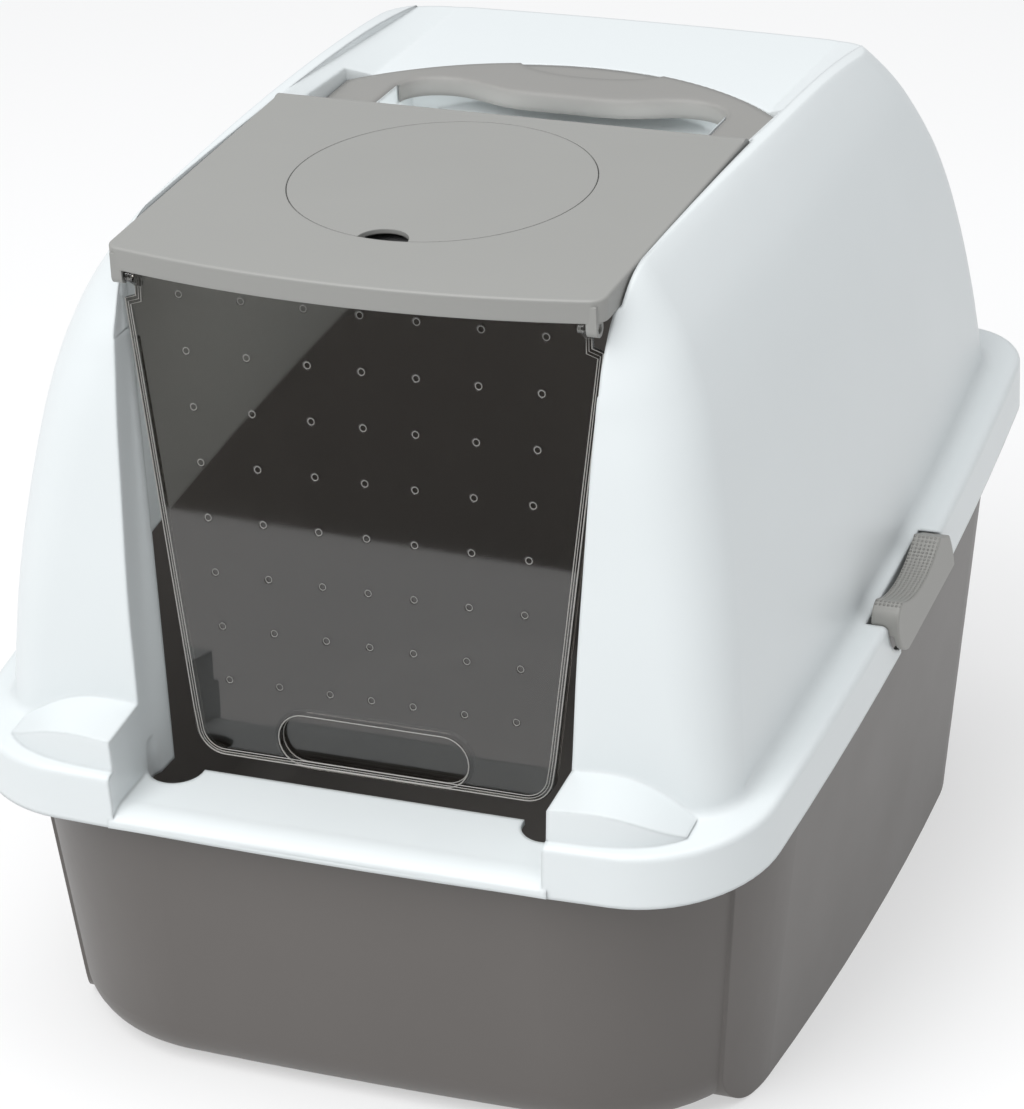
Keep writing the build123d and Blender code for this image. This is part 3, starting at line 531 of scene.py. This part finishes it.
# %% The charcoal pad's mesh
LID_LEAN = math.radians(1.15)
PAD_CLEARANCE = 0.4 * MM
PAD_THICKNESS = 7.4 * MM
PAD_SIDES = 96
PAD_RINGS = 9
SHOULDER_RADIUS = 1.6 * MM
SHARP_ANGLE = math.radians(60)

pad_low, pad_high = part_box("carbon_filter")
pad_middle = (pad_low + pad_high) / 2
pad_radius = (pad_high.x - pad_low.x) / 2 - PAD_CLEARANCE

pad_shape = bmesh.new()
bmesh.ops.create_circle(pad_shape, cap_ends=True, segments=PAD_SIDES, radius=pad_radius)
raised = bmesh.ops.extrude_face_region(pad_shape, geom=pad_shape.faces[:])
moved = [item for item in raised["geom"] if isinstance(item, bmesh.types.BMVert)]
bmesh.ops.translate(pad_shape, verts=moved, vec=(0, 0, PAD_THICKNESS))
for _ in range(PAD_RINGS):
    caps = [face for face in pad_shape.faces if len(face.verts) > 4]
    bmesh.ops.inset_region(pad_shape, faces=caps, thickness=pad_radius / (PAD_RINGS + 1))
shoulder = [edge for edge in pad_shape.edges if edge.calc_face_angle(0) > SHARP_ANGLE]
bmesh.ops.bevel(
    pad_shape, geom=shoulder, offset=SHOULDER_RADIUS,
    segments=3, profile=0.5, affect="EDGES", material=-1,
)
bmesh.ops.recalc_face_normals(pad_shape, faces=pad_shape.faces[:])
print("pad:", round(2 * pad_radius / MM, 1), "mm across")

# %% [markdown]
# Loose felt is never flat. Two noises dip its faces, one in swells 11 mm apart and one in
# tufts 3 mm apart, and a third draws its side in. Every move goes inwards, so the pad
# can't grow out of its space.

# %% The charcoal pad's uneven felt
FELT_DIP = 0.35
SWELL_SPACING = 11 * MM
SWELL_DEPTH = 0.25
TUFT_SPACING = 3 * MM
TUFT_DEPTH = 0.1
SIDE_SPACING = 7 * MM
SIDE_DRAW = 0.004

for vert in pad_shape.verts:
    swell = SWELL_DEPTH * noise.noise(vert.co / SWELL_SPACING)
    tuft = TUFT_DEPTH * noise.noise(vert.co / TUFT_SPACING)
    dip = (FELT_DIP - swell - tuft) * MM
    inward = 1 - SIDE_DRAW * (1 + noise.noise(vert.co / SIDE_SPACING))
    vert.co.x *= inward
    vert.co.y *= inward
    vert.co.z += dip if vert.co.z < PAD_THICKNESS / 2 else -dip

centred = Matrix.Translation((0, 0, -PAD_THICKNESS / 2))
leaned = Matrix.Rotation(LID_LEAN, 4, "X")
bmesh.ops.transform(
    pad_shape, verts=pad_shape.verts[:],
    matrix=Matrix.Translation(pad_middle) @ leaned @ centred,
)
charcoal_pad = new_piece("charcoal_pad", pad_shape)

# %% [markdown]
# Charcoal felt is nearly black and has no gloss, but its loose fibres catch light at a
# grazing view, which is what sheen is for. The fibres are drawn as a twisted noise. Real
# ones are a few hundredths of a millimetre thick; the noise is 0.8 mm wide, so that it
# shows as tufts of them.

# %% The pad's charcoal felt
FIBRE_WIDTH = 0.8
FIBRE_DEPTH = 0.4

felt, felt_tree = new_material("charcoal_felt")
felt_place = add_node(felt_tree, "ShaderNodeTexCoord").outputs["Object"]
fibres = add_node(
    felt_tree, "ShaderNodeTexNoise",
    values={
        "Scale": 1 / (FIBRE_WIDTH * MM), "Detail": 4.0, "Roughness": 0.7, "Distortion": 1.5,
    },
    links={"Vector": felt_place},
).outputs["Fac"]
felt_tone = add_node(
    felt_tree, "ShaderNodeMix", settings={"data_type": "RGBA"},
    values={MIX_FIRST: linear("#151515"), MIX_SECOND: linear("#2E2D2C")},
    links={MIX_FACTOR: fibres},
).outputs[MIX_RESULT]
felt_surface = add_node(
    felt_tree, "ShaderNodeBump",
    values={"Strength": 1.0, "Distance": FIBRE_DEPTH * MM},
    links={"Height": fibres},
).outputs["Normal"]
felt_shader = add_node(
    felt_tree, "ShaderNodeBsdfPrincipled",
    values={"Roughness": 0.95, "Sheen Weight": 0.4, "Sheen Roughness": 0.5},
    links={"Base Color": felt_tone, "Normal": felt_surface},
)
add_node(felt_tree, "ShaderNodeOutputMaterial", links={"Surface": felt_shader.outputs["BSDF"]})
charcoal_pad.data.materials.append(felt)
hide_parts("carbon_filter")
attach(charcoal_pad, "lid")
print(charcoal_pad.name, "is", felt.name)

# %% [markdown]
# The photograph is a studio shot on white. The floor is a table of milky sheet that is lit
# a little from below, so that the box throws almost no shadow on it. It is made of two
# parts, because the door mirrors it: the part by the box shows in the door as a grey field
# with a crisp end almost 1 m in front of it, and beyond that the room is dark. So the
# other part is white to the camera, and a black sheet under it is seen by reflections only.
# The floor lies half a millimetre under the box, so that no two faces share a place.

# %% The floor and the dark end of the room
FLOOR_END = -1.05
FLOOR_TURN = math.radians(3.5)
FLOOR_WIDTH = 18
FLOOR_REACH = 9
FLOOR_HEIGHT = -0.5 * MM
DARK_HEIGHT = -2 * MM
MILKY = {"colour": "#B4B4B4", "glow": 0.5}
BLACK = {"colour": "#050505", "glow": 0}


def plain_sheet(name, near, far, height, colour, glow):
    """A flat matt rectangle of the studio between two distances, which may glow a little."""
    shape = bmesh.new()
    bmesh.ops.create_grid(shape, x_segments=1, y_segments=1, size=0.5)
    corners = shape.verts[:]
    bmesh.ops.scale(shape, verts=corners, vec=(FLOOR_WIDTH, far - near, 1))
    bmesh.ops.translate(shape, verts=corners, vec=(0, (near + far) / 2 - FLOOR_END, height))
    bmesh.ops.rotate(shape, verts=corners, matrix=Matrix.Rotation(FLOOR_TURN, 3, "Z"))
    bmesh.ops.translate(shape, verts=corners, vec=(0, FLOOR_END, 0))
    sheet = new_piece(name, shape, smooth=False)
    paint, tree = new_material(name + "_paint")
    matt = add_node(
        tree, "ShaderNodeBsdfPrincipled",
        values={
            "Base Color": linear(colour), "Roughness": 0.9, "Specular IOR Level": 0.1,
            "Emission Color": linear("#FFFFFF"), "Emission Strength": glow,
        },
    )
    add_node(tree, "ShaderNodeOutputMaterial", links={"Surface": matt.outputs["BSDF"]})
    sheet.data.materials.append(paint)
    return sheet


plain_sheet("floor", FLOOR_END, FLOOR_REACH, FLOOR_HEIGHT, **MILKY)
front_floor = plain_sheet("front_floor", -FLOOR_REACH, FLOOR_END, FLOOR_HEIGHT, **MILKY)
front_floor.visible_glossy = False
dark_end = plain_sheet("dark_end", -FLOOR_REACH, FLOOR_END, DARK_HEIGHT, **BLACK)
dark_end.visible_camera = False
dark_end.visible_diffuse = False
dark_end.visible_shadow = False
dark_end.visible_transmission = False

# %% [markdown]
# Soft light comes from everywhere, and more of it from the left, the front and above:
# the hood's front and top are near white in the photograph, and its right side is a
# little darker. The sky is a plain world colour, and two large square lamps do the rest.

# %% The sky and the two large lamps
SKY_STRENGTH = 0.5
AIM = Vector((0, 0, 0.25))

world = bpy.data.worlds.new("studio")
bpy.context.scene.world = world
world.use_nodes = True
sky = world.node_tree.nodes["Background"]
sky.inputs["Color"].default_value = linear("#FAFCFF")
sky.inputs["Strength"].default_value = SKY_STRENGTH


def soft_box(name, place, size, power):
    """A square studio light at a place, turned to the box. Size in metres, power in watts."""
    lamp = bpy.data.lights.new(name, "AREA")
    lamp.size = size
    lamp.energy = power
    box = bpy.data.objects.new(name, lamp)
    box.location = place
    box.rotation_euler = (AIM - Vector(place)).to_track_quat("-Z", "Y").to_euler()
    bpy.context.scene.collection.objects.link(box)
    print(name, "gives", power, "W")


soft_box("key_light", place=(-0.9, -2.3, 3.0), size=2.4, power=84)
soft_box("top_light", place=(0.2, -0.3, 3.0), size=2.6, power=44)

# %% [markdown]
# Thin white plastic lets light through, which makes the inside of the hood brighter than
# its openings alone would. Small lamps stand for that: one in the cabin, which shows
# behind the smoked door, and two in the pocket under the grip.

# %% The small lamps inside
POCKET_HALF_WIDTH = 0.055


def small_lamp(name, place, radius, power):
    """A soft lamp that lights what is round it and isn't seen itself."""
    glow = bpy.data.lights.new(name, "POINT")
    glow.energy = power
    glow.shadow_soft_size = radius
    lamp = bpy.data.objects.new(name, glow)
    lamp.location = place
    lamp.visible_camera = False
    lamp.visible_glossy = False
    lamp.visible_transmission = False
    bpy.context.scene.collection.objects.link(lamp)
    print(name, "gives", power, "W")


small_lamp("cabin_light", place=(0.05, 0.05, 0.33), radius=0.08, power=0.9)
for across in (-POCKET_HALF_WIDTH, POCKET_HALF_WIDTH):
    small_lamp("pocket_light", place=(across, 0.062, 0.436), radius=0.012, power=0.03)

# %% [markdown]
# The camera was matched to the photograph from the box's own corners: it looks down
# from the front right, leans a little, and is far enough away for a long lens. The focal
# length was found in the photograph's pixels, so the frame's width turns it to millimetres.

# %% Camera
FRAME_WIDTH = 1024
FOCAL_PIXELS = 4441.9
SENSOR_WIDTH = 36
CAMERA_TURN = math.radians(22.60)
CAMERA_RISE = math.radians(26.05)
CAMERA_LEAN = math.radians(-2.68)
CAMERA_DISTANCE = 2.5411
CAMERA_TARGET = Vector((-0.0128, 0.0205, 0.1978))
FARTHEST_SEEN = 50

back = Vector((
    math.sin(CAMERA_TURN) * math.cos(CAMERA_RISE),
    -math.cos(CAMERA_TURN) * math.cos(CAMERA_RISE),
    math.sin(CAMERA_RISE),
))
right = Vector((math.cos(CAMERA_TURN), math.sin(CAMERA_TURN), 0))
up = back.cross(right)
camera_x = math.cos(CAMERA_LEAN) * right + math.sin(CAMERA_LEAN) * up
camera_y = -math.sin(CAMERA_LEAN) * right + math.cos(CAMERA_LEAN) * up
lens = bpy.data.cameras.new("camera")
lens.sensor_fit = "HORIZONTAL"
lens.sensor_width = SENSOR_WIDTH
lens.lens = FOCAL_PIXELS / FRAME_WIDTH * SENSOR_WIDTH
lens.clip_end = FARTHEST_SEEN
camera = bpy.data.objects.new("camera", lens)
camera.matrix_world = (
    Matrix.Translation(CAMERA_TARGET + back * CAMERA_DISTANCE)
    @ Matrix((camera_x, camera_y, back)).transposed().to_4x4()
)
bpy.context.scene.collection.objects.link(camera)
bpy.context.scene.camera = camera
bpy.context.scene.view_settings.view_transform = "Standard"
print("lens:", round(lens.lens, 1), "mm")
